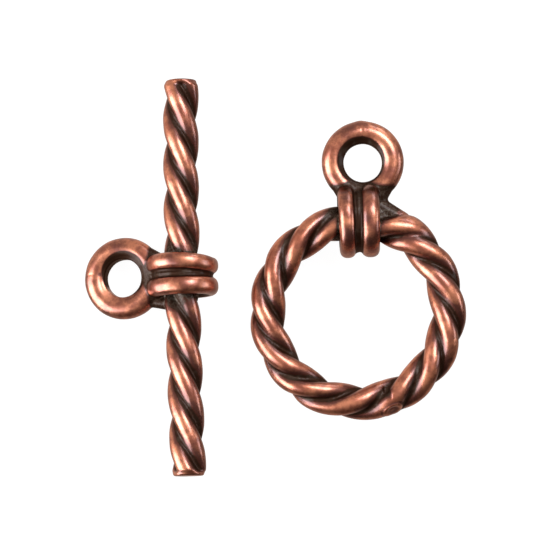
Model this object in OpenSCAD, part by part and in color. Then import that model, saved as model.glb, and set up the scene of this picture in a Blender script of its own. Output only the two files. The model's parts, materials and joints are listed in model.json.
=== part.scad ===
// A toggle clasp in two cast halves, a ring and a bar, which lie side by side.
// Each half is one solid: three-strand rope, an eyelet for a cord or chain, and a band of two
// coils that binds the eyelet to the rope.
// X runs across the pair, Y along the bar and Z up. The halves rest on z = 0, and the origin is
// the middle of their common footprint. Lengths are in millimetres, angles in degrees.

/* [Rope] */
// Thickness over the strands
rope_d = 2.4; // [1.8:0.01:3]
// Strands laid together
strands = 3; // [2:1:4]
// Thickness of one strand
strand_d = 1.32; // [1:0.01:1.6]
// Thickness at the bottom of the grooves
core_d = 1.57; // [0.8:0.01:1.7]

/* [Ring half] */
// Diameter of the ring along the middle of its rope
ring_d = 11.82; // [9:0.1:20]
// Times that a strand comes to the outer edge, once around
ring_lobes = 13; // [8:1:20]
// Direction in which a strand is at the outer edge, from +X
ring_phase = 25; // [0:1:120]
// Sideways offset of the eyelet from the middle of the band
ring_shift = 0.33; // [-0.8:0.01:0.8]
// Slack of the coils on the eyelet's side
ring_slack = 0.2; // [0:0.01:0.8]
// Metal between the coils and the bore
ring_web = 0.1; // [0.05:0.01:0.6]
// Angle by which each coil leans towards the other at the inner edge
ring_splay = 2.5; // [0:0.1:5]

/* [Bar half] */
// Length of the bar
bar_l = 26; // [18:0.1:40]
// Length in which a strand goes once around
bar_lay = 9; // [6:0.1:14]
// Distance above the middle at which a strand is at the right edge
bar_phase = 0.27; // [-2:0.01:2]
// Rise of the bar's bow, with both ends away from the eyelet
bar_bow = 0.16; // [0:0.01:0.6]
// Offset of the band from the middle of the bar
bar_band = 0.12; // [-3:0.01:3]
// Offset of the eyelet from the middle of the band, along the bar
bar_shift = -0.03; // [-0.8:0.01:0.8]
// Slack of the coils on the eyelet's side
bar_slack = 0.06; // [0:0.01:0.8]
// Metal between the coils and the bore
bar_web = 0.35; // [0.05:0.01:0.6]
// Radius of the rim at each end
end_round = 0.2; // [0.05:0.01:0.4]
// Length over which the grooves run out before each rim
end_run = 0.25; // [0.1:0.01:1]

/* [Eyelets] */
// Outer diameter
eyelet_d = 5.4; // [4.8:0.1:8]
// Thickness of the wire-like rim
eyelet_t = 1.5; // [1.2:0.05:2]
// Diameter of the bore
bore_d = 2.5; // [1.4:0.05:2.7]
// Length of the bore's wall
bore_l = 1; // [0.6:0.05:1.2]
// Offset of the ring half's bore from the middle of its eyelet, towards the rope
bore_off = 0.05; // [0:0.01:0.2]
// Angle between each leg of the neck and the eyelet's own axis
neck_angle = 30; // [20:1:40]
// How much thinner the neck's legs are than the rim
neck_step = 0.16; // [0.08:0.01:0.5]

/* [Bands] */
// Thickness of a coil
coil_d = 1.1; // [0.7:0.01:1.4]
// Gap between the two coils
coil_gap = 0.47; // [0.2:0.01:1.2]
// How deep the coils sink into the strands
coil_sink = 0.07; // [0.02:0.01:0.3]
// Slack of the coils on the side away from the eyelet
far_slack = 0.06; // [0:0.01:0.5]
// Depth of the groove between the two coils
band_groove = 0.3; // [0.1:0.01:0.5]

/* [Layout] */
// Gap between the two halves
half_gap = 2; // [1:0.1:10]
// How far the ring's middle lies below the bar's middle
ring_drop = 2.25; // [0:0.01:6]
// Turn of the bar on the surface, anticlockwise
bar_turn = 1.3; // [-10:0.1:10]

/* [Hidden] */
$fn = 64;
// Points across one strand, sections from one strand to the next, and sections of an end's rim
// as shares of its radius
strand_points = 8;
lobe_steps = 8;
rim_sections = [0, 0.15, 0.5, 1];

rope_r = rope_d / 2;
strand_r = strand_d / 2;
lay_r = rope_r - strand_r;
rope_points = strands * strand_points;
end_fill = end_round + end_run;
ring_r = ring_d / 2;
bore_r = bore_d / 2;
rim_r = eyelet_t / 2;
rim_c = eyelet_d / 2 - rim_r;
coil_r = coil_d / 2;
coil_pitch = coil_d + coil_gap;
// Radius of the coils' own middle line where it goes around an end, and how deep a coil reaches
loop_r = rope_r - coil_sink + coil_r;
band_depth = loop_r + coil_r;

// Distance from the middle of the rope to the middle of an eyelet: its bore clears the coils, and
// its rim stays outside the strands
function reach(slack, web, off) =
    max(rope_r + coil_d + slack + web + bore_r + off, rope_r + eyelet_d / 2);
ring_reach = reach(ring_slack, ring_web, bore_off);
bar_reach = reach(bar_slack, bar_web, 0);

// Both halves rest on their coils. The ring's far side and the bar's eyelet come down to the same
// surface, so the ring half tilts along Y and the bar half rolls about its own length.
far_end = far_slack + coil_sink;
near_end = bar_slack + coil_sink;
ring_tilt = asin((band_depth - rope_r) / (2 * ring_r - far_end));
ring_lift = ring_r * sin(ring_tilt) + rope_r;
bar_roll = asin((band_depth - rim_r) / (bar_reach + rim_c - near_end));
bar_lift = band_depth + near_end * sin(bar_roll);

// The pair's width goes from the bar's eyelet to the ring's right edge
left_edge = -(bar_reach + rim_c) * cos(bar_roll) - rim_r;
band_edge = far_end * cos(bar_roll) + band_depth;
ring_x = band_edge + half_gap + ring_r + rope_r;
right_edge = ring_x + ring_r + rope_r;
middle_x = (left_edge + right_edge) / 2;

// Outline of the rope's cross-section. turn is the angle from the middle of a strand.
function from_strand(turn) =
    let (one = 360 / strands, t = turn - one * round(turn / one))
    max(core_d / 2, lay_r * cos(t) + sqrt(max(0, strand_r * strand_r - pow(lay_r * sin(t), 2))));

// One cross-section at a place on the rope's middle line, with its outward direction. fill goes
// from 0, the bare strands, to 1, a full circle, and inset draws the outline in.
function section(middle, outward, strand_at, fill = 0, inset = 0) = [
    for (k = [0 : rope_points - 1])
        let (turn = k * 360 / rope_points,
             bare = from_strand(turn),
             r = bare + (rope_r - bare) * fill - inset,
             a = strand_at + turn)
        middle + r * cos(a) * outward + [0, 0, r * sin(a)]];

// The faces between two neighbouring sections. shift joins each point to one further around.
function between(one, two, shift = 0) = [
    for (k = [0 : rope_points - 1])
        let (n = (k + 1) % rope_points,
             a = one * rope_points + k,
             b = one * rope_points + n,
             c = two * rope_points + (n + shift) % rope_points,
             d = two * rope_points + (k + shift) % rope_points)
        each [[a, b, c], [a, c, d]]];

function flat(lists) = [for (l = lists) each l];

// The ring's rope closes on itself: after the whole turn each strand meets the next one.
module ring_rope() {
    steps = ring_lobes * lobe_steps;
    points = flat([for (i = [0 : steps - 1])
        let (a = 360 * i / steps, out = [cos(a), sin(a), 0])
        section(ring_r * out, out, (a - ring_phase) * ring_lobes / strands)]);
    faces = flat([for (i = [0 : steps - 1])
        between(i, (i + 1) % steps, i == steps - 1 ? ring_lobes * strand_points : 0)]);
    polyhedron(points, faces);
}

// The bar's rope runs along Y. Its grooves run out before the rounded rim of each end.
module bar_rope() {
    half = bar_l / 2;
    open_l = bar_l - 2 * end_fill;
    steps = round(strands * lobe_steps * open_l / bar_lay);
    rim = rim_sections * end_round;
    places = concat(rim, [for (i = [0 : steps]) end_fill + open_l * i / steps],
        [for (i = [len(rim) - 1 : -1 : 0]) bar_l - rim[i]]);
    points = flat([for (p = places)
        let (y = p - half,
             from_end = min(p, bar_l - p),
             fill = max(0, 1 - from_end / end_fill),
             inside = max(0, end_round - from_end),
             inset = end_round - sqrt(end_round * end_round - inside * inside))
        section([bar_bow * pow(y / half, 2), y, 0], [1, 0, 0], 360 * (y - bar_phase) / bar_lay,
            fill, inset)]);
    last = len(places) - 1;
    faces = concat(
        flat([for (i = [0 : last - 1]) between(i, i + 1)]),
        [[for (k = [rope_points - 1 : -1 : 0]) k]],
        [[for (k = [0 : rope_points - 1]) last * rope_points + k]]);
    polyhedron(points, faces);
}

// Half a coil, around X, on the +Y side.
module half_loop() {
    rotate([0, 90, 0])
        rotate_extrude(angle = 180)
            translate([loop_r, 0]) circle(coil_r);
}

// One coil, a loop around X. slack lengthens it towards the eyelet, at +Y.
module coil(slack) {
    near = slack + coil_sink;
    translate([0, near, 0]) half_loop();
    translate([0, -far_end, 0]) mirror([0, 1, 0]) half_loop();
    for (side = [-1, 1])
        translate([0, -far_end, side * loop_r])
            rotate([-90, 0, 0])
                cylinder(r = coil_r, h = near + far_end);
}

// The two coils and the metal between them, with their middle at the origin.
module band(slack, splay = 0) {
    for (side = [-1, 1])
        translate([side * coil_pitch / 2, 0, 0])
            rotate([0, 0, -side * splay])
                coil(slack);
    near = slack + coil_sink;
    groove_r = band_depth - band_groove;
    rotate([0, 90, 0])
        linear_extrude(height = coil_pitch, center = true) {
            translate([0, near]) circle(groove_r);
            translate([0, -far_end]) circle(groove_r);
            translate([-groove_r, -far_end]) square([2 * groove_r, near + far_end]);
        }
}

// An eyelet at away from a rope along X, with the two legs of its neck. off moves its bore back.
module eyelet(away, off) {
    leg_r = rim_r - neck_step / 2;
    foot = away - rim_c * sin(neck_angle);
    difference() {
        translate([0, away, 0]) {
            rotate_extrude() translate([rim_c, 0]) circle(rim_r);
            translate([0, 0, -bore_l / 2]) cylinder(r = rim_c, h = bore_l);
            for (side = [-1, 1])
                translate([side * rim_c * cos(neck_angle), -rim_c * sin(neck_angle), 0])
                    rotate([90, 0, -side * neck_angle])
                        cylinder(r = leg_r, h = foot / cos(neck_angle));
        }
        translate([0, away - off, -eyelet_t]) cylinder(r = bore_r, h = 2 * eyelet_t);
    }
}

// The ring half in its own plane, with the ring's middle at the origin.
module ring_half() {
    ring_rope();
    translate([0, ring_r, 0]) {
        band(ring_slack, ring_splay);
        translate([ring_shift, 0, 0]) eyelet(ring_reach, bore_off);
    }
}

// The bar half in the plane of its eyelet, with the bar's middle at the origin.
module bar_half() {
    bar_rope();
    translate([0, bar_band, 0])
        rotate([0, 0, 90]) {
            band(bar_slack);
            translate([bar_shift, 0, 0]) eyelet(bar_reach, 0);
        }
}

module toggle_ring() {
    color("peru")
        translate([ring_x - middle_x, -ring_drop, ring_lift])
            rotate([ring_tilt, 0, 0])
                ring_half();
}

module toggle_bar() {
    color("sienna")
        translate([-middle_x, 0, bar_lift])
            rotate([0, 0, bar_turn])
                rotate([0, -bar_roll, 0])
                    bar_half();
}

toggle_ring();
toggle_bar();
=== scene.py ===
"""The looks of a toggle clasp, cast in two halves and plated in antique copper.

Every piece is worked out in millimetres in the flat plane of its own half, with its upper side at
+Z. The pieces of one half are fused into one casting, which is laid down as the CAD half lies.
"""
import json

import bpy
import numpy as np
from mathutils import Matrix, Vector


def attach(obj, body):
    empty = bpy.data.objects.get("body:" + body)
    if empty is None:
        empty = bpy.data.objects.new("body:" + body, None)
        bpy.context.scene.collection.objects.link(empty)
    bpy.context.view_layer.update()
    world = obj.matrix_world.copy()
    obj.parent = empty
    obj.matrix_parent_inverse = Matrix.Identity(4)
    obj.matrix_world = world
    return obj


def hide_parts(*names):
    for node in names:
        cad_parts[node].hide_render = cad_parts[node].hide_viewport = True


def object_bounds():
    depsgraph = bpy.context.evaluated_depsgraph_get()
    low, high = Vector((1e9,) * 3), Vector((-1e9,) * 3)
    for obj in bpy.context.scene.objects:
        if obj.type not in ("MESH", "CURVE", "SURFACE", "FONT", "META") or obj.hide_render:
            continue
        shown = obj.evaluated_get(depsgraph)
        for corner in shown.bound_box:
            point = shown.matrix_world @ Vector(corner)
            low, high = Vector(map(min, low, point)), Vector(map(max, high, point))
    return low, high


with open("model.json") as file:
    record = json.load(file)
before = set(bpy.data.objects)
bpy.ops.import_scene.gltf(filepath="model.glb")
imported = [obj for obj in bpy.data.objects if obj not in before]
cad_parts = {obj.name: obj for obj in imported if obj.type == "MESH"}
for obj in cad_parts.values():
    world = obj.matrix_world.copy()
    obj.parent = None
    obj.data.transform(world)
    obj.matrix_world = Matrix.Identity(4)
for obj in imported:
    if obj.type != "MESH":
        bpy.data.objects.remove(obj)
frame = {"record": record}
CAD_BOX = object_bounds()

# Sizes in millimetres and angles in degrees. They follow the part's source, but the grooves of the
# rope are deeper here, the bar and its ends are slimmer, and the coils stand 0.01 closer.
MM = 0.001
UP = (0.0, 0.0, 1.0)

# Rope, with a strand's shoulders a little fuller than round
ROPE_R = 1.2
STRANDS = 3
STRAND_R = 0.66
LAY_R = ROPE_R - STRAND_R
CORE_R = 0.64
SHOULDER = 0.02

# Ring half
RING_R = 5.91
RING_LOBES = 13
RING_SLIM = 0.998
RING_SHIFT = 0.33
RING_REACH = 3.9
RING_NEAR = 0.27
BORE_OFF = 0.05

# Where a strand comes to the top of the ring's outer edge, and where the groove between two
# others comes to its inner edge, once around: places in degrees. The lay is even but for a flat
# stretch at the joint, left of the bottom. It is averaged over a few degrees.
OUTER_AT = np.array([26, 51, 76, 108, 139, 166, 191, 220, 242, 279, 303, 331, 357], float)
INNER_AT = np.array([25, 52, 76, 111, 138, 165, 192, 220, 247, 273, 302, 331, 357], float)
LAY_AROUND = np.linspace(-6, 6, 13)

# Metal in the ring's outer grooves, next to the neck and at the joint: place and width in degrees,
# and the rope's radius where they are full
RING_FILLS = [(58, 10, ROPE_R + 0.24), (291, 6, ROPE_R - 0.04)]
RING_FILL_SHARE = 0.85

# Bar half. Its ends go over into a smaller circle with a rounded corner.
BAR_L = 26.0
BAR_LAY = 9.0
BAR_PHASE = 0.27
BAR_BOW = 0.16
BAR_BAND = 0.12
BAR_SHIFT = -0.03
BAR_REACH = 3.96
BAR_NEAR = 0.13
BAR_TURN = 1.3
BAR_SLIM = 0.985
END_RUN = 0.42
END_ROUND = 0.10
END_R = 1.03
END_CORNER = 0.16

# Eyelets, with the rim's middle line and wire, which is cut back a little behind the bore's wall,
# the bore and its collar, and the neck's legs
RIM_C = 1.95
RIM_R = 0.75
RIM_CUT = 0.02
BORE_R = 1.25
COLLAR_W = 0.5
COLLAR_H = 1.0
COLLAR_CORNER = 0.16
LEG_R = 0.67
NECK_ANGLE = 30.0

# Bands, with their coils and the metal between them, which has a low ridge along its middle
COIL_R = 0.55
COIL_SQUARE = 2.35
COIL_PITCH = 1.56
LOOP_R = 1.68
FAR_END = 0.13
FILL_LOW = 0.42
FILL_RIDGE = 0.10
FILL_RIDGE_W = 0.12

# Each coil: its place, and how far it leans in degrees, how many times wider than COIL_R it is, and
# how far it bows
RING_COILS = [dict(side=-0.73, lean=3.1), dict(side=0.81, lean=1.2, thick=1.12)]
BAR_COILS = [dict(side=0.62, lean=-2.3, thick=1.05, bow=0.17),
             dict(side=-0.80, lean=1.0, thick=1.12)]

# Rods that fill corners of the castings: start, end, and radius at both. The tip of a rod's round
# end isn't quite a point.
RING_WEB = ([1.1, 7.7, 0.0], [2.3, 6.0, 0.0], 0.48, 0.58)
RING_SHOULDER = ([1.5, 6.85, 0.0], [2.9, 6.05, 0.0], 0.62, 0.55)
BAR_WEB = ([-2.3, -1.45, 0.0], [-0.9, -1.70, 0.0], 0.42, 0.45)
ROD_TIP = 0.01

# Places along each path and points around each profile
RING_STEPS = 1200
BAR_STEPS = 700
CORNER_STEPS = 7
ROPE_POINTS = 150
HALF_COIL_STEPS = 130
COIL_POINTS = 72
FILL_STEPS = 25
FILL_POINTS = 240
EYELET_STEPS = 300
EYELET_POINTS = 96
ROD_STEPS = 60
ROD_CAP_STEPS = 12
ROD_POINTS = 72

# Cells of which each casting's skin is made
RING_CELL = 0.0775
BAR_CELL = 0.068

# Creases are found by a few rounds of smoothing, and count in full where they are this deep. They
# spread a little, are softened by many small steps, and then the whole skin is softened once.
CREASE_ROUNDS = 4
CREASE_DEEP = 0.012
CREASE_SPREAD_ROUNDS = 3
CREASE_SPREAD = 0.8
SOFTEN_ROUNDS = 10
SOFTEN_CREASE = 0.5
SOFTEN_ALL = 0.35

# Broad hollows are found by many rounds. No direction is divided by less than a tiny length.
HOLLOW_ROUNDS = 70
TINY = 1e-12

# Slow unevenness of the skin: its height, and its slanted waves, each with its rate along X, Y and
# Z and its start
UNEVEN = 0.009
WAVES = [(2.9, 1.3, 0.7, 0.0), (1.1, -3.4, 1.9, 1.0), (4.7, 3.9, -2.3, 2.2),
         (-2.1, 5.2, 4.1, 0.0)]

# Marks in the surface: middle, direction in degrees, half length, half width, deep, rim. The first
# is the leaf at the joint of the ring.
RING_MARKS = [
    ([2.27, -6.36], 27, 0.50, 0.24, 0.03, 0.07),
    ([1.92, -5.25], -62, 0.60, 0.24, 0.10, 0.0),
    ([0.29, 11.75], 90, 0.60, 0.05, 0.02, 0.0),
]
BAR_MARKS = [
    ([-6.0, 0.40], 0, 0.55, 0.05, 0.02, 0.0),
]

# Where a mark's rim stands and how wide it is, and where its floor begins and is reached, as
# shares of the leaf. The underside counts as far off it.
MARK_RIM, MARK_RIM_W = 1.1, 0.32
MARK_EDGE, MARK_FLOOR = 1.0, 0.4
OFF_LEAF = 10.0

# Small bumps left by the mould: middle, radius, height
RING_BUMPS = [(0.15, 12.46, 0.0, 0.35, 0.05), (-4.67, -1.18, 0.0, 0.14, 0.08)]
BAR_BUMPS = []

# The next groups say how deep the patina lies, from 0, worn bright, to 1, black, with distances in
# millimetres; painted shade on some flanks and next to the band is added to it too. On a coil: how
# far it counts beyond its own radius, how much further on its upper side, and the heights between
# which that sets in.
COIL_EDGE = 0.03
COIL_EDGE_ABOVE = 0.10
COIL_ABOVE = (0.6, 1.3)

# In the band: how far it reaches over the coils' tops and beside a coil's middle, and the
# distances below the tops between which it grows dark, in the gap between the coils and beside
# them, and how dark it is there
BAND_OVER = 0.02
BAND_BESIDE = 0.66
GAP_FROM, GAP_TO = 0.16, 0.36
SIDE_FROM, SIDE_TO = 0.45, 0.85
SIDE_DARK = 0.9

# On the rope: its edges, and how dark it is next to the band and how soon that fades
ROPE_OVER = 0.06
ROPE_BESIDE = 0.40
BAND_END = 0.56
BAND_SHADOW = 0.55
BAND_SHADOW_W = 0.22

# On the neck: where it begins, how dark it is, and its border with the rim, which lies further out
# in the middle and is soft to both sides
NECK_FROM = 1.0
NECK_OVER = 0.02
NECK_DARK = 0.85
NECK_MIDDLE = 0.60
NECK_MIDDLE_W = 0.80
NECK_OUT, NECK_IN = 0.28, 0.14
RING_NECK = 2.25
BAR_NECK = 2.02

# Around the bore: how dark its wall is, how soft the lip's edge is to both sides, and the lip's
# mean width, how much that swings, and towards which angle in radians
BORE_DARK = 0.8
LIP_OUT, LIP_IN = 0.12, 0.04
RING_LIP = (0.24, 0.20, 2.3)
BAR_LIP = (0.17, 0.30, 1.2)

# Broad hollows: how dark they are at a depth, and how that grows. Then painted shade on the rope's
# flanks that face one way and painted light on those that face the other, and the coils and
# eyelets, which are handled unevenly.
HOLLOW_DARK = 0.30
HOLLOW_GROWTH = 9
HOLLOW_FROM = 0.03
PAINTED_FLANK_SHADE = 0.20
PAINTED_SHADE_WAY = [0.95, 0.31, 0.0]
HANDLED = 0.14
HANDLED_SWING = 0.07
HANDLED_SCALE = 0.6

# Dust: how far it reaches along the rope from the band, and how much is on the neck
DUST_REACH = 0.75
NECK_DUST = 0.4

# The middle of the ring's band along X, and a place that counts as far off it
RING_BAND_X = 0.04
OFF_BAND = 9.0

# The bar's ends: how much shallower their grooves count, how near to the end the end face begins,
# and how far below the strands' tops it counts
END_RAISED = 0.2
END_FACE = 0.07
END_FACE_LOW = 0.08

# The leaf at the joint: how far it is bright and how deep it counts there, and its dark lines with
# place, width and depth. Places and widths are shares of the leaf.
LEAF_BRIGHT = 1.3
LEAF_DEPTH = 0.10
LEAF_LINES = [(0.50, 0.35, 0.17), (1.55, 0.22, 0.28)]

# Soft spots of patina and of dust: middle, radius, strength
RING_SPOTS = [
    (1.95, 6.9, 0.4, 0.75, 0.6),
    (2.3, 6.9, 0.2, 0.42, 0.6),
    (-1.6, 6.7, 0.3, 0.6, 0.35),
    (1.95, -5.3, 0.8, 0.35, 0.4),
    (0.29, 11.42, 0.6, 0.12, 0.5),
    (1.0, 7.95, 1.1, 0.48, 0.5),
    (-0.8, 8.0, 1.1, 0.42, 0.5),
    (-0.62, 5.2, 1.9, 0.45, 0.30),
    (0.67, 4.6, 1.7, 0.40, 0.28),
    (0.5, 6.1, 2.0, 0.35, 0.25),
    (-0.8, 7.4, 1.8, 0.40, 0.22),
]
RING_DUST_SPOTS = [(2.2, 6.6, 0.6, 0.8, 0.4)]
BAR_SPOTS = [
    (-0.6, -1.7, 0.8, 0.7, 0.5),
    (0.5, -1.6, 0.8, 0.45, 0.35),
    (-0.6, 1.8, 0.6, 0.6, 0.25),
    (0.1, 1.8, 1.0, 0.4, 0.3),
    (-5.5, 0.38, 0.6, 0.12, 0.4),
    (-0.84, -12.4, 0.4, 0.16, 0.7),
    (-0.05, -12.70, 0.95, 0.34, 0.36),
    (0.47, 12.3, 0.85, 0.36, 0.40),
]

# Colours of the finish
BRIGHT_COPPER = (0.77, 0.27, 0.135)
WORN_COPPER = (0.48, 0.122, 0.054)
GRAINY_COPPER = (0.30, 0.10, 0.06)
TARNISHED_COPPER = (0.33, 0.078, 0.036)
RED_BROWN = (0.15, 0.027, 0.013)
NEAR_BLACK = (0.040, 0.016, 0.008)
DUST_GREY = (0.115, 0.09, 0.068)
EDGE_TINT = (1.0, 0.68, 0.55, 1.0)

# Lacquer, and the height of the fine relief in metres with the share of its waves
LACQUER_ROUGHNESS = 0.27
LACQUER_IOR = 1.75
RELIEF = 0.000005
RELIEF_WAVES = 2.2

# Noise patterns of the finish: scale to a metre, detail, roughness
GRAIN = (7000.0, 3.0, 0.6)
CLOUD = (1100.0, 3.0, 0.55)
WAVE = (1900.0, 1.0, 0.4)
TARNISH = (1300.0, 2.0, 0.5)

# How far two of them push the depth up and down
CLOUD_SWING = 0.36
GRAIN_SWING = 0.14

# Ranges of a pattern, or of the depth, over which the finish changes. Where a range has four
# numbers, the last two are the values at its ends.
CLOUD_WORN = (0.38, 0.66)
GRAIN_SEEN = (0.50, 0.72, 0.0, 0.35)
TARNISH_SEEN = (0.48, 0.66, 0.0, 0.75)
GRAIN_DUST = (0.42, 0.62)
CLOUD_DUST = (0.50, 0.70, 0.0, 0.35)
DEPTH_BROWN = (0.03, 0.36)
DEPTH_BLACK = (0.36, 0.58)
DEPTH_LACQUER = (0.34, 0.56, 1.0, 0.15)
DEPTH_ROUGH = (0.34, 0.58, 0.37, 0.60)
DEPTH_RELIEF = (0.3, 0.6, 0.25, 1.0)

# Paper, a square of twice this half side in metres, with its own grey and glow
PAPER_HALF = 3.0
PAPER_GREY = (0.12, 0.12, 0.12, 1)
PAPER_ROUGHNESS = 0.8
PAPER_GLOW = 0.96

# Soft lights: name, direction seen from the object, distance, width and height in metres, radiance
LIGHT_COLOUR = (0.96, 1.02, 1.10)
LIGHTS = [
    ("left_softbox", (-0.89, -0.29, 0.35), 0.40, 0.37, 0.42, 5.4),
    ("right_softbox", (0.37, 0.37, 0.852), 0.42, 0.20, 0.20, 7.9),
    ("right_wall", (0.966, 0.0, 0.257), 0.40, 0.18, 0.12, 3.4),
    ("back_wall", (0.40, 0.87, 0.27), 0.40, 0.14, 0.12, 3.0),
]

# The room's light from the far side above, and the glow from the pale surface: direction, the
# cosines between which it grows, and its strength at both
ROOM_COLOUR = (1.0, 0.86, 0.76, 1)
ROOM_ABOVE = ((-0.25, 0.75, 0.6), -0.45, 0.6, 0.06, 0.54)
ROOM_BELOW = ((0, 0, -1), 0.10, 0.6, 0.0, 0.36)

# Camera: degrees above the surface, pixels a millimetre, the picture's side and how far the
# object's middle lies below the picture's in pixels, lens and sensor in millimetres, and the
# nearest and furthest that it sees in metres
CAMERA_ABOVE = 84.0
PIXELS = 15.3
PICTURE = 550.0
MIDDLE_LOW = 2
LENS = 200.0
SENSOR = 36.0
CLIP_NEAR, CLIP_FAR = 0.01, 20.0


# Curves
def smooth_step(low, high, value):
    """Goes from 0 at low to 1 at high: t * t * (3 - 2 * t), t being the share of the way. low may
    also be the greater of the two."""
    t = np.clip((value - low) / (high - low), 0, 1)
    return t * t * (3 - 2 * t)


def bell(value, width):
    """1 where value is 0, falling to both sides: exp(-(value / width)^2)."""
    return np.exp(-(value / width) ** 2)


# Surfaces
def tube(path, across, up, u, w, closed):
    """Carries a profile along a path: point = path + u * across + w * up. path has one row per
    place. across and up are one direction, or have one row per place, and u and w have one column
    per point of the profile. A closed path joins its last place to its first, and an open one is
    closed by a pole at each end."""
    across, up = np.broadcast_to(across, path.shape), np.broadcast_to(up, path.shape)
    points = path[:, None] + u[..., None] * across[:, None] + w[..., None] * up[:, None]
    rows, cols = points.shape[:2]
    at = np.arange(rows * cols).reshape(rows, cols)
    if closed:
        at = np.vstack([at, at[:1]])
    at = np.hstack([at, at[:, :1]])
    a, b, c, d = at[:-1, :-1], at[1:, :-1], at[1:, 1:], at[:-1, 1:]
    faces = [np.stack([a, b, c], -1).reshape(-1, 3), np.stack([a, c, d], -1).reshape(-1, 3)]
    points = points.reshape(-1, 3)
    if not closed:
        for row, middle in ((at[0], path[0]), (at[-1], path[-1])):
            pole = np.full(cols, len(points))
            faces.append(np.stack([row[:-1], row[1:], pole], -1))
            points = np.vstack([points, middle])
    return points, np.vstack(faces)


def strand_outline(turn):
    """Distance from the rope's middle to its surface, turn degrees from the middle of a strand:
    the far side of a circle of STRAND_R that stands LAY_R off the middle, with fuller shoulders,
    over a filled core."""
    one = 360 / STRANDS
    t = np.radians(turn - one * np.round(turn / one))
    bare = LAY_R * np.cos(t) + np.sqrt(np.maximum(0, STRAND_R ** 2 - (LAY_R * np.sin(t)) ** 2))
    return np.maximum(bare + SHOULDER * np.sin(3 * t) ** 2, CORE_R)


def strand_turn(a, marks):
    """Turn of the strands at ring angle a, in degrees: a third of a circle from one of marks to
    the next, and even in between."""
    around = np.append(marks, marks[0] + 360) - marks[0]
    turns, rest = np.divmod(a - marks[0], 360)
    return 360 / STRANDS * (np.interp(rest, around, np.arange(RING_LOBES + 1)) + RING_LOBES * turns)


def ring_rope():
    """The ring's rope: the strands' outline carried around a circle and turned with the lay. The
    outline is a function of two angles, one around the ring and one around the rope. The lay
    follows one set of marks at the outer edge and another at the inner edge. Next to the neck and
    at the joint the outer side's grooves are filled with metal."""
    a = np.linspace(0, 360, RING_STEPS, endpoint=False)
    th = np.linspace(0, 360, ROPE_POINTS, endpoint=False)
    tr = np.radians(th)[None]
    near = a[:, None] + LAY_AROUND
    outer = strand_turn(near, OUTER_AT).mean(1)[:, None]
    inner = strand_turn(near, INNER_AT).mean(1)[:, None]
    outside = (1 + np.cos(tr)) / 2
    r = RING_SLIM * strand_outline(th[None] - outer * outside - inner * (1 - outside))
    for middle, width, full_r in RING_FILLS:
        share = RING_FILL_SHARE * bell(a[:, None] - middle, width) * outside ** 2
        r = r + share * (full_r - r)
    ar = np.radians(a)
    out = np.stack([np.cos(ar), np.sin(ar), 0 * ar], 1)
    return tube(RING_R * out, out, UP, r * np.cos(tr), r * np.sin(tr), True)


def bar_axis(y):
    """The bar's middle line, a shallow bow: x = BAR_BOW times the square of y's share of half the
    bar's length."""
    return np.stack([BAR_BOW * (2 * y / BAR_L) ** 2, y, 0 * y], 1)


def bar_rope():
    """The bar's rope: the strands' outline carried along the bow and turned with the lay. At both
    ends the outline goes over into a slightly smaller circle, which draws in by a quarter circle
    at its corner."""
    end = END_CORNER * (1 - np.cos(np.linspace(0, np.pi / 2, CORNER_STEPS)))[:-1]
    open_y = np.linspace(END_CORNER, BAR_L - END_CORNER, BAR_STEPS)
    y = np.concatenate([end, open_y, BAR_L - end[::-1]])
    y = y - BAR_L / 2
    from_end = np.minimum(y + BAR_L / 2, BAR_L / 2 - y)
    th = np.linspace(0, 360, ROPE_POINTS, endpoint=False)
    bare = BAR_SLIM * strand_outline(th[None] - 360 * (y - BAR_PHASE)[:, None] / BAR_LAY)
    fill = smooth_step(END_RUN, END_ROUND, from_end)[:, None]
    in_corner = np.maximum(0, END_CORNER - from_end)
    inset = END_CORNER - np.sqrt(END_CORNER ** 2 - in_corner ** 2)
    r = bare + (END_R - bare) * fill - inset[:, None]
    tr = np.radians(th)[None]
    return tube(bar_axis(y), (1.0, 0.0, 0.0), UP, r * np.cos(tr), r * np.sin(tr), False)


def coil(side, near, lean=0.0, thick=1.0, bow=0.0):
    """One coil of a band: a rounded profile carried around a loop of two half circles and two
    straight sides. side is its place along X where it goes around the ends, and bow how far it
    stands along X above and below; near and -FAR_END are the half circles' middles. The profile's
    radius is COIL_R / (|cos|^n + |sin|^n)^(1/n), which is squarer than a circle, brought half way
    back to COIL_R."""
    half = np.linspace(0, np.pi, HALF_COIL_STEPS)
    ny = np.concatenate([np.sin(half), -np.sin(half)])
    nz = np.concatenate([np.cos(half), -np.cos(half)])
    y = np.repeat([near, -FAR_END], HALF_COIL_STEPS) + LOOP_R * ny
    z = LOOP_R * nz
    x = side + bow * np.abs(z) / LOOP_R
    c, s = np.cos(np.radians(lean)), np.sin(np.radians(lean))
    path = np.stack([x * c - y * s, x * s + y * c, z], 1)
    outward = np.stack([-ny * s, ny * c, nz], 1)
    p = np.linspace(0, 2 * np.pi, COIL_POINTS, endpoint=False)
    u, w = np.cos(p), np.sin(p)
    r = COIL_R * (np.abs(u) ** COIL_SQUARE + np.abs(w) ** COIL_SQUARE) ** (-1 / COIL_SQUARE)
    r = r * (COIL_R / r.max() * 0.5 + 0.5)
    return tube(path, outward, (c, s, 0.0), r * u, thick * r * w, True)


def fill_between(near):
    """The metal between the two coils: a bar of the loop's own outline, lower than the coils, with
    a ridge along its middle. Each side of the outline is a half circle around near or -FAR_END."""
    y = np.linspace(-COIL_PITCH / 2, COIL_PITCH / 2, FILL_STEPS)
    t = np.linspace(0, 2 * np.pi, FILL_POINTS, endpoint=False)[None]
    r = LOOP_R + COIL_R - FILL_LOW + FILL_RIDGE * bell(y, FILL_RIDGE_W)[:, None]
    u = r * np.cos(t) + np.where(np.cos(t) > 0, near, -FAR_END)
    path = np.stack([y, 0 * y, 0 * y], 1)
    return tube(path, (0.0, 1.0, 0.0), UP, u, r * np.sin(t), False)


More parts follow.
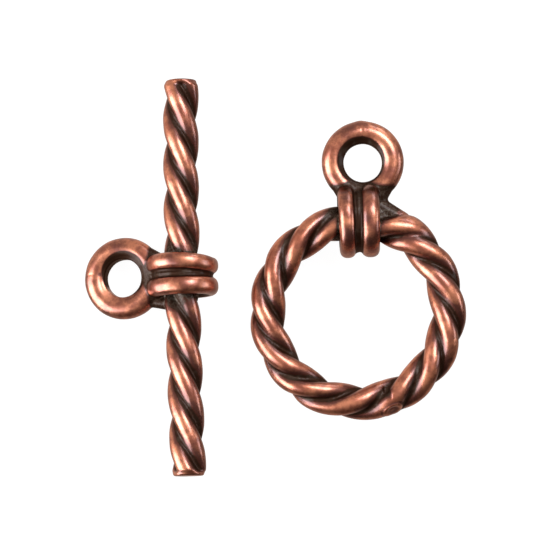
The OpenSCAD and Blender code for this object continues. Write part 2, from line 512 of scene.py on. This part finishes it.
def turned(middle, rho, z):
    """A profile of radius rho and height z turned around an upright line through middle: point =
    middle + rho * (cos, sin) of the angle + z * up."""
    a = np.linspace(0, 2 * np.pi, EYELET_STEPS, endpoint=False)
    out = np.stack([np.cos(a), np.sin(a), 0 * a], 1)
    path = np.tile(np.asarray(middle, float), (len(a), 1))
    return tube(path, out, UP, rho, z, True)


def rim_and_collar(away, shift, off):
    """An eyelet's rim and the low collar around its bore. The rim is a round wire of RIM_R at
    RIM_C, cut back by the bore. The collar is a flat band whose four corners are quarter
    circles."""
    p = np.linspace(0, 2 * np.pi, EYELET_POINTS, endpoint=False)
    c, s = np.cos(p), np.sin(p)
    rim = turned([shift, away, 0], np.maximum(RIM_C + RIM_R * c, BORE_R + off + RIM_CUT), RIM_R * s)
    rho = BORE_R + COLLAR_W / 2 + np.sign(c) * (COLLAR_W / 2 - COLLAR_CORNER) + COLLAR_CORNER * c
    z = np.sign(s) * (COLLAR_H / 2 - COLLAR_CORNER) + COLLAR_CORNER * s
    return [rim, turned([shift, away - off, 0], rho, z)]


def rod(start, end, r_start, r_end):
    """A round bar from start to end in the flat plane, its radius going evenly from one to the
    other, with half-round ends, where distance and radius are r * sin and r * cos of an angle."""
    start, end = np.asarray(start, float), np.asarray(end, float)
    long = np.linalg.norm(end - start)
    d = (end - start) / long
    cap = np.linspace(-np.pi / 2, 0, ROD_CAP_STEPS)[:-1]
    back = cap[::-1]
    s = np.concatenate([r_start * np.sin(cap), np.linspace(0, long, ROD_STEPS),
                        long - r_end * np.sin(back)])
    r = np.concatenate([r_start * np.cos(cap), np.linspace(r_start, r_end, ROD_STEPS),
                        r_end * np.cos(back)])
    r = np.maximum(r, ROD_TIP)[:, None]
    p = np.linspace(0, 2 * np.pi, ROD_POINTS, endpoint=False)[None]
    return tube(start + s[:, None] * d, np.cross(d, UP), UP, r * np.cos(p), r * np.sin(p), False)


def legs(away, shift):
    """The neck: two round legs that leave the rim's middle line along its tangents and run down
    into the rope's middle line."""
    t = np.radians(NECK_ANGLE)
    long = (away - RIM_C * np.sin(t)) / np.cos(t)
    made = []
    for side in (-1, 1):
        start = np.array([shift + side * RIM_C * np.cos(t), away - RIM_C * np.sin(t), 0.0])
        end = start + long * np.array([-side * np.sin(t), -np.cos(t), 0.0])
        made.append(rod(start, end, LEG_R, LEG_R))
    return made


def band_and_eyelet(coils, near, away, shift, off):
    """What is bound to a rope along X: the band's coils with the metal between them, then the
    eyelet towards +Y, away from the rope's middle, with its neck."""
    band = [coil(near=near, **one) for one in coils] + [fill_between(near)]
    return band + rim_and_collar(away, shift, off) + legs(away, shift)


def moved(pieces, by):
    """Moves pieces: point + by."""
    return [(p + np.asarray(by, float), f) for p, f in pieces]


def quarter(pieces):
    """Turns pieces from the ring half's way, eyelet at +Y, to the bar half's, eyelet at -X: (x, y)
    goes to (-y, x)."""
    return [(np.stack([-p[:, 1], p[:, 0], p[:, 2]], 1), f) for p, f in pieces]


# Castings
def new_object(name, points, faces):
    """An object at the origin with a smooth-shaded mesh of points and faces, all faces with the
    same number of sides."""
    mesh = bpy.data.meshes.new(name)
    mesh.vertices.add(len(points))
    mesh.vertices.foreach_set("co", np.ascontiguousarray(points, np.float32).ravel())
    sides = faces.shape[1]
    mesh.loops.add(faces.size)
    mesh.loops.foreach_set("vertex_index", np.ascontiguousarray(faces, np.int32).ravel())
    mesh.polygons.add(len(faces))
    mesh.polygons.foreach_set("loop_start", np.arange(0, faces.size, sides, dtype=np.int32))
    mesh.polygons.foreach_set("use_smooth", np.ones(len(faces), bool))
    mesh.update(calc_edges=True)
    mesh.validate()
    piece = bpy.data.objects.new(name, mesh)
    bpy.context.scene.collection.objects.link(piece)
    return piece


def fused(pieces, cell):
    """Fuses closed pieces into one skin of cells, then each point goes back to the nearest point
    of the pieces' own surfaces. Returns points and faces, each of which has to have four sides."""
    counts = np.cumsum([0] + [len(p) for p, _ in pieces])
    points = np.vstack([p for p, _ in pieces])
    faces = np.vstack([f + n for (_, f), n in zip(pieces, counts)])
    source = new_object("source", points, faces)
    skin = new_object("skin", points, faces)
    cells = skin.modifiers.new("cells", "REMESH")
    cells.mode, cells.voxel_size, cells.adaptivity = "VOXEL", cell, 0.0
    back = skin.modifiers.new("back", "SHRINKWRAP")
    back.target, back.wrap_method = source, "NEAREST_SURFACEPOINT"
    done = skin.evaluated_get(bpy.context.evaluated_depsgraph_get()).to_mesh()
    co = np.empty(len(done.vertices) * 3)
    done.vertices.foreach_get("co", co)
    quads = np.empty(len(done.loops), np.int64)
    done.loops.foreach_get("vertex_index", quads)
    assert len(done.loops) == 4 * len(done.polygons)
    for piece in (source, skin):
        bpy.data.objects.remove(piece)
    return co.reshape(-1, 3), quads.reshape(-1, 4)


def edges_of(quads):
    """Each edge of the four-sided faces once, as a pair of points."""
    pairs = np.sort(np.vstack([quads[:, [k, (k + 1) % 4]] for k in range(4)]), 1)
    return np.unique(pairs, axis=0)


def neighbour_mean(values, edges):
    """Mean of each point's neighbours, for all points at once."""
    a, b = np.r_[edges[:, 0], edges[:, 1]], np.r_[edges[:, 1], edges[:, 0]]
    n = np.bincount(a, minlength=len(values))[:, None]
    cols = [np.bincount(a, values[b, k], minlength=len(values)) for k in range(values.shape[1])]
    return np.stack(cols, 1) / np.maximum(n, 1)


def normals_of(points, quads):
    """Outward direction at each point: the sum, over its faces, of the cross product of the two
    diagonals, brought to length 1."""
    one, two, three, four = points[quads.T]
    n = np.cross(three - one, four - two)
    out = np.stack([np.bincount(quads.ravel(), np.repeat(n[:, k], 4), minlength=len(points))
                    for k in range(3)], 1)
    return out / np.maximum(np.linalg.norm(out, axis=1, keepdims=True), TINY)


def hollow(points, quads, edges, rounds):
    """How far each point lies below the mean of its surroundings, in millimetres: the surface is
    smoothed by rounds steps, each half way to the neighbours' mean, and the way back is measured
    along the normal."""
    smooth = points.copy()
    for _ in range(rounds):
        smooth += 0.5 * (neighbour_mean(smooth, edges) - smooth)
    return np.einsum("ij,ij->i", smooth - points, normals_of(points, quads))


def unevenness(points):
    """Slow rise and fall of a hand-finished surface, the mean of slanted sine waves, from -1 to
    1."""
    x, y, z = points.T
    return sum(np.sin(a * x + b * y + c * z + start) for a, b, c, start in WAVES) / len(WAVES)


def leaf(points, middle, way, long, wide):
    """Distance from middle on the upper side, as a share of a leaf long and wide in two directions
    of the flat plane: 1 on the leaf's edge. way is the direction of its length in degrees."""
    t = np.radians(way)
    off = points[:, :2] - middle
    u, v = off @ [np.cos(t), np.sin(t)], off @ [-np.sin(t), np.cos(t)]
    return np.hypot(u / long, v / wide) + OFF_LEAF * (points[:, 2] < 0)


def pressed(points, marks):
    """How far each point stands out through marks in the surface: each is a leaf pressed in by
    deep, with an edge raised by rim."""
    total = np.zeros(len(points))
    for middle, way, long, wide, deep, rim in marks:
        e = leaf(points, middle, way, long, wide)
        total += rim * bell(e - MARK_RIM, MARK_RIM_W) - deep * smooth_step(MARK_EDGE, MARK_FLOOR, e)
    return total


def near_spots(points, spots):
    """Sum of soft round spots: strength * exp(-(distance / radius)^2) for each."""
    total = np.zeros(len(points))
    for *middle, radius, strength in spots:
        total += strength * np.exp(-((points - middle) ** 2).sum(1) / radius ** 2)
    return total


def casting(name, pieces, cell, depth_of, marks, bumps, cad_node, place):
    """Fuses the pieces of one half, softens the creases between them, presses its marks in, lays
    the half down and stores how deep each point lies, from 0 on top of a strand to 1 in the dark,
    and how much dust there is."""
    points, quads = fused(pieces, cell)
    edges = edges_of(quads)
    crease = np.clip(hollow(points, quads, edges, CREASE_ROUNDS) / CREASE_DEEP, 0, 1)[:, None]
    for _ in range(CREASE_SPREAD_ROUNDS):
        crease = np.maximum(crease, CREASE_SPREAD * neighbour_mean(crease, edges))
    for _ in range(SOFTEN_ROUNDS):
        points = points + crease * SOFTEN_CREASE * (neighbour_mean(points, edges) - points)
    points = points + SOFTEN_ALL * (neighbour_mean(points, edges) - points)
    broad = hollow(points, quads, edges, HOLLOW_ROUNDS)
    depth, dust = depth_of(points, normals_of(points, quads), broad)
    rise = pressed(points, marks) + near_spots(points, bumps) + UNEVEN * (unevenness(points) - 1)
    points = points + rise[:, None] * normals_of(points, quads)
    made = new_object(name, place(points) * MM, quads)
    for title, values in (("depth", depth), ("dust", dust)):
        stored = made.data.attributes.new(title, "FLOAT", "POINT")
        stored.data.foreach_set("value", values.astype(np.float32))
    made.data.materials.append(COPPER)
    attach(made, "root")
    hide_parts(cad_node)


# Where the patina lies, with painted shade and light added on the rope
def depth_by_shape(points, normals, rope_r, across, toward, near, from_bore, lip, neck_at, broad):
    """How deep the surface lies. On the rope it grows from 0 on top of a strand to 1 at the core,
    and in the band from the coils' tops to the metal between them. across and toward are places
    along the rope and towards the eyelet, from the band's middle. The bore's wall with its lip and
    the neck are dark too. On the rope, painted shade is added on the flanks that face one way and
    painted light on those that face the other, and a painted shadow lies next to the band. The
    greatest of these depths counts, and off the rope uneven handling adds to it. The rope next to
    the band and the neck are dusty."""
    over = np.maximum(toward - near, 0) + np.maximum(-toward - FAR_END, 0)
    loop_r = np.hypot(over, points[:, 2])
    top = LOOP_R + COIL_R
    beside = np.abs(across) - COIL_PITCH / 2
    coil_reach = COIL_R + COIL_EDGE + COIL_EDGE_ABOVE * smooth_step(*COIL_ABOVE, points[:, 2])
    on_coil = np.hypot(loop_r - LOOP_R, beside) < coil_reach
    in_band = (loop_r < top + BAND_OVER) & (beside < BAND_BESIDE)
    in_gap = smooth_step(top - GAP_FROM, top - GAP_TO, loop_r)
    at_side = SIDE_DARK * smooth_step(top - SIDE_FROM, top - SIDE_TO, loop_r)
    gap = np.where(in_band & (beside < 0), in_gap, 0)
    side = np.where(in_band & (beside > 0), at_side, 0)
    in_rope = np.clip((ROPE_R - rope_r) / (ROPE_R - CORE_R), 0, 1)
    on_rope = (rope_r < ROPE_R + ROPE_OVER) & (beside > ROPE_BESIDE)
    from_band = np.maximum(beside - BAND_END, 0)
    rope = np.where(on_rope, in_rope + BAND_SHADOW * np.exp(-from_band / BAND_SHADOW_W), 0)
    border = neck_at + NECK_MIDDLE * bell(across, NECK_MIDDLE_W)
    on_neck = ~on_coil & (toward > NECK_FROM) & (rope_r > ROPE_R + NECK_OVER)
    in_neck = NECK_DARK * smooth_step(border + NECK_OUT, border - NECK_IN, toward)
    neck = np.where(on_neck, in_neck, 0)
    bore = BORE_DARK * smooth_step(lip + LIP_OUT, lip - LIP_IN, from_bore)
    hollow_part = HOLLOW_DARK + HOLLOW_GROWTH * (broad - HOLLOW_FROM)
    # Painted shade on the rope's flanks that face one way, painted light on those that face the
    # other
    flank_shade_and_light = PAINTED_FLANK_SHADE * normals @ PAINTED_SHADE_WAY
    uneven = HANDLED + HANDLED_SWING * unevenness(HANDLED_SCALE * points)
    handled = np.where(on_rope, 0.0, uneven)
    dust = bell(from_band, DUST_REACH) * on_rope + NECK_DUST * neck
    depth = np.maximum.reduce([rope + flank_shade_and_light * on_rope, gap, side, neck, hollow_part, bore])
    return np.clip(depth + handled, 0, 1), dust


def bore_and_lip(x, y, lip):
    """Distance from the bore's wall, with x and y from its middle, and the width of its dark lip
    at that angle: mean + swing * cos(angle - way)."""
    mean, swing, way = lip
    return np.hypot(x, y) - BORE_R, mean + swing * np.cos(np.arctan2(y, x) - way)


def ring_depth(points, normals, broad):
    """Depth and dust of the ring half: by its shape, with the leaf at the joint bright and drawn
    round by two dark lines, and with the spots added."""
    x, y, z = points.T
    rope_r = np.hypot(np.hypot(x, y) - RING_R, z)
    toward = np.where(y > 0, y - RING_R, -OFF_BAND)
    across = np.where(y > 0, x - RING_BAND_X, OFF_BAND)
    eye = RING_R + RING_REACH - BORE_OFF
    from_bore, lip = bore_and_lip(x - RING_SHIFT, y - eye, RING_LIP)
    depth, dust = depth_by_shape(points, normals, rope_r, across, toward, RING_NEAR, from_bore,
                                 lip, RING_NECK, broad)
    from_leaf = leaf(points, *RING_MARKS[0][:4])
    depth = np.where(from_leaf < LEAF_BRIGHT, np.minimum(depth, LEAF_DEPTH), depth)
    for place, width, dark in LEAF_LINES:
        depth = depth + dark * bell(from_leaf - place, width)
    dust = dust + near_spots(points, RING_DUST_SPOTS)
    return np.clip(depth + near_spots(points, RING_SPOTS), 0, 1), np.clip(dust, 0, 1)


def bar_depth(points, normals, broad):
    """Depth and dust of the bar half: by its shape, with the rims and end faces worn, and with the
    spots added."""
    x, y, z = points.T
    from_end = BAR_L / 2 - np.abs(y)
    at_end = smooth_step(END_RUN + END_ROUND, END_ROUND, from_end)
    rope_r = np.hypot(x - bar_axis(y)[:, 0], z) / BAR_SLIM + END_RAISED * at_end
    rope_r = np.where(from_end < END_FACE, ROPE_R - END_FACE_LOW, rope_r)
    from_bore, lip = bore_and_lip(x + BAR_REACH, y - BAR_BAND - BAR_SHIFT, BAR_LIP)
    depth, dust = depth_by_shape(points, normals, rope_r, y - BAR_BAND, -x, BAR_NEAR, from_bore,
                                 lip, BAR_NECK, broad)
    return np.clip(depth + near_spots(points, BAR_SPOTS), 0, 1), np.clip(dust, 0, 1)


# Finish
def node(tree, kind, **values):
    """A new node in a tree. Each value goes to the node's setting of that name, or else to its
    socket."""
    made = tree.nodes.new(kind)
    for key, value in values.items():
        if hasattr(made, key) and key not in made.inputs:
            setattr(made, key, value)
        else:
            made.inputs[key].default_value = value
    return made


def smooth_range(tree, value, low, high, to_low=0.0, to_high=1.0):
    """Takes a value in a node tree from low and high to to_low and to_high, by smooth_step."""
    made = node(tree, "ShaderNodeMapRange", interpolation_type="SMOOTHSTEP")
    for k, v in (("From Min", low), ("From Max", high), ("To Min", to_low), ("To Max", to_high)):
        made.inputs[k].default_value = v
    tree.links.new(value, made.inputs["Value"])
    return made.outputs["Result"]


def copper_finish():
    """Antique copper: burnished where it stands out, red-brown on the flanks, near-black in the
    grooves and grey where dust has stayed, under a thin clear lacquer. The stored depth, pushed
    up and down by two noise patterns, says which of them shows; it also carries painted shade and
    light on the rope's flanks and a painted shadow next to the band."""
    mat = bpy.data.materials.new("antique_copper_plating")
    mat.use_nodes = True
    tree = mat.node_tree
    tree.nodes.clear()
    link = tree.links.new
    out = node(tree, "ShaderNodeOutputMaterial")
    shader = node(tree, "ShaderNodeBsdfPrincipled", Metallic=1.0)
    shader.inputs["Specular Tint"].default_value = EDGE_TINT
    shader.inputs["Coat Roughness"].default_value = LACQUER_ROUGHNESS
    shader.inputs["Coat IOR"].default_value = LACQUER_IOR
    where = node(tree, "ShaderNodeTexCoord")

    def stored(title):
        """A value stored at the points."""
        return node(tree, "ShaderNodeAttribute", attribute_name=title).outputs["Fac"]

    def noise(scale, detail, rough):
        """A noise pattern on the object's own coordinates, about 0.5."""
        made = node(tree, "ShaderNodeTexNoise", Scale=scale, Detail=detail, Roughness=rough)
        link(where.outputs["Object"], made.inputs["Vector"])
        return made.outputs["Fac"]

    def math(op, a, b, clamp=False):
        """The sum, difference or product of two numbers or values, kept from 0 to 1 by clamp."""
        made = node(tree, "ShaderNodeMath", operation=op, use_clamp=clamp)
        for k, v in enumerate((a, b)):
            if isinstance(v, (int, float)):
                made.inputs[k].default_value = v
            else:
                link(v, made.inputs[k])
        return made.outputs[0]

    def swing(value, by):
        """A pattern turned into a push up and down: (value - 0.5) * by."""
        return math("MULTIPLY", math("SUBTRACT", value, 0.5), by)

    def spread(value, limits):
        """A value taken through one of the ranges above."""
        return smooth_range(tree, value, *limits)

    def mixed(share, one, two):
        """A colour between two: one + share * (two - one)."""
        made = node(tree, "ShaderNodeMix", data_type="RGBA")
        link(share, made.inputs[0])
        for k, v in ((6, one), (7, two)):
            if isinstance(v, tuple):
                made.inputs[k].default_value = (*v, 1)
            else:
                link(v, made.inputs[k])
        return made.outputs[2]

    grain, cloud, wave, tarnish = noise(*GRAIN), noise(*CLOUD), noise(*WAVE), noise(*TARNISH)
    depth = math("ADD", stored("depth"), swing(cloud, CLOUD_SWING))
    depth = math("ADD", depth, swing(grain, GRAIN_SWING), True)
    worn = mixed(spread(cloud, CLOUD_WORN), BRIGHT_COPPER, WORN_COPPER)
    burnished = mixed(spread(grain, GRAIN_SEEN), worn, GRAINY_COPPER)
    burnished = mixed(spread(tarnish, TARNISH_SEEN), burnished, TARNISHED_COPPER)
    brown = mixed(spread(depth, DEPTH_BROWN), burnished, RED_BROWN)
    dust = math("MULTIPLY", stored("dust"), spread(grain, GRAIN_DUST))
    dust = math("ADD", dust, spread(cloud, CLOUD_DUST), True)
    grime = mixed(dust, NEAR_BLACK, DUST_GREY)
    link(mixed(spread(depth, DEPTH_BLACK), brown, grime), shader.inputs["Base Color"])
    link(spread(depth, DEPTH_LACQUER), shader.inputs["Coat Weight"])
    link(spread(depth, DEPTH_ROUGH), shader.inputs["Roughness"])
    fine = math("MULTIPLY", grain, spread(depth, DEPTH_RELIEF))
    height = math("ADD", fine, math("MULTIPLY", wave, RELIEF_WAVES))
    bump = node(tree, "ShaderNodeBump", Strength=1.0, Distance=RELIEF)
    link(height, bump.inputs["Height"])
    link(bump.outputs["Normal"], shader.inputs["Normal"])
    link(shader.outputs["BSDF"], out.inputs["Surface"])
    return mat


def paper_finish():
    """The pale surface that the halves lie on, lit from below as a light table is."""
    mat = bpy.data.materials.new("pale_paper")
    mat.use_nodes = True
    shader = mat.node_tree.nodes["Principled BSDF"]
    shader.inputs["Base Color"].default_value = PAPER_GREY
    shader.inputs["Roughness"].default_value = PAPER_ROUGHNESS
    shader.inputs["Specular IOR Level"].default_value = 0.0
    shader.inputs["Emission Color"].default_value = (1, 1, 1, 1)
    shader.inputs["Emission Strength"].default_value = PAPER_GLOW
    return mat


# The two halves
def placing(mount, eye, turn=0.0):
    """Lays a half down: its eyelet's bore comes to the mount's place and its own upright to the
    mount's axis. eye is the bore's middle in the half's own plane; along that plane the half's Y
    (the ring half) or -X (the bar half) points to the eyelet. point = place of the mount + (point
    - eye) along the half's three axes."""
    up = np.array(mount["axis"])
    if turn == 0.0:
        x = np.array([1.0, 0.0, 0.0])
        y = np.cross(up, x)
    else:
        y = np.array([-np.sin(np.radians(turn)), np.cos(np.radians(turn)), 0.0])
        x = np.cross(y, up)
    axes = np.stack([x, y, up])
    at = np.array(mount["pos_m"]) / MM - np.asarray(eye, float) @ axes
    return lambda points: at + points @ axes


COPPER = copper_finish()
mounts = {m["name"]: m for m in frame["record"]["mounts"]}

ring_bound = band_and_eyelet(RING_COILS, RING_NEAR, RING_REACH, RING_SHIFT, BORE_OFF)
ring_pieces = [ring_rope(), rod(*RING_WEB), rod(*RING_SHOULDER)] + moved(ring_bound, [0, RING_R, 0])
ring_place = placing(mounts["ring_eyelet"], [RING_SHIFT, RING_R + RING_REACH - BORE_OFF, 0])
casting("ring_casting", ring_pieces, RING_CELL, ring_depth, RING_MARKS, RING_BUMPS, "toggle_ring",
        ring_place)

bar_bound = band_and_eyelet(BAR_COILS, BAR_NEAR, BAR_REACH, BAR_SHIFT, 0)
bar_pieces = [bar_rope(), rod(*BAR_WEB)] + moved(quarter(bar_bound), [0, BAR_BAND, 0])
bar_place = placing(mounts["bar_eyelet"], [-BAR_REACH, BAR_BAND + BAR_SHIFT, 0], BAR_TURN)
casting("bar_casting", bar_pieces, BAR_CELL, bar_depth, BAR_MARKS, BAR_BUMPS, "toggle_bar",
        bar_place)


# Floor, light and camera
def floor():
    """The paper, a flat square around the origin. The copper mirrors the room in its place."""
    corners = np.array([[-1, -1, 0], [1, -1, 0], [1, 1, 0], [-1, 1, 0]])
    made = new_object("floor", PAPER_HALF * corners, np.array([[0, 1, 2, 3]]))
    made.data.materials.append(paper_finish())
    made.visible_glossy = False


def softbox(name, toward, away, width, height, radiance):
    """A soft light in direction toward, seen from the object, at distance away. Its power is
    radiance * pi * width * height."""
    data = bpy.data.lights.new(name, "AREA")
    data.shape, data.size, data.size_y = "RECTANGLE", width, height
    data.energy = radiance * np.pi * width * height
    data.color = LIGHT_COLOUR
    lamp = bpy.data.objects.new(name, data)
    way = Vector(toward).normalized()
    lamp.location = way * away
    lamp.rotation_mode = "QUATERNION"
    lamp.rotation_quaternion = way.to_track_quat("Z", "Y")
    lamp.visible_camera = False
    bpy.context.scene.collection.objects.link(lamp)


def room():
    """The room's even light: soft from above and from the far side, dim from the near side, with a
    glow from the pale surface just below the horizon. Each grows with the cosine of the angle to
    its direction."""
    world = bpy.data.worlds.new("room")
    world.use_nodes = True
    tree = world.node_tree
    sky = tree.nodes["Background"]
    where = node(tree, "ShaderNodeTexCoord")
    both = node(tree, "ShaderNodeMath", operation="ADD")
    for k, (toward, *limits) in enumerate((ROOM_ABOVE, ROOM_BELOW)):
        dot = node(tree, "ShaderNodeVectorMath", operation="DOT_PRODUCT")
        tree.links.new(where.outputs["Generated"], dot.inputs[0])
        dot.inputs[1].default_value = Vector(toward).normalized()
        tree.links.new(smooth_range(tree, dot.outputs["Value"], *limits), both.inputs[k])
    tree.links.new(both.outputs[0], sky.inputs["Strength"])
    sky.inputs["Color"].default_value = ROOM_COLOUR
    bpy.context.scene.world = world


def camera():
    """Looks at the object's middle from far away, so that the picture's side shows PICTURE /
    PIXELS millimetres there: distance = that side * lens / sensor."""
    data = bpy.data.cameras.new("camera")
    data.lens, data.sensor_width = LENS, SENSOR
    data.clip_start, data.clip_end = CLIP_NEAR, CLIP_FAR
    cam = bpy.data.objects.new("camera", data)
    above = np.radians(CAMERA_ABOVE)
    back = Vector((0, -np.cos(above), np.sin(above)))
    up = Vector((0, np.sin(above), np.cos(above)))
    low, high = CAD_BOX
    aim = (low + high) / 2 + up * (MIDDLE_LOW / PIXELS * MM)
    cam.location = aim + back * (PICTURE / PIXELS * MM * LENS / SENSOR)
    cam.rotation_mode = "QUATERNION"
    cam.rotation_quaternion = back.to_track_quat("Z", "Y")
    bpy.context.scene.collection.objects.link(cam)
    bpy.context.scene.camera = cam


floor()
for light in LIGHTS:
    softbox(*light)
room()
camera()
bpy.context.scene.view_settings.view_transform = "Standard"

bpy.context.view_layer.update()
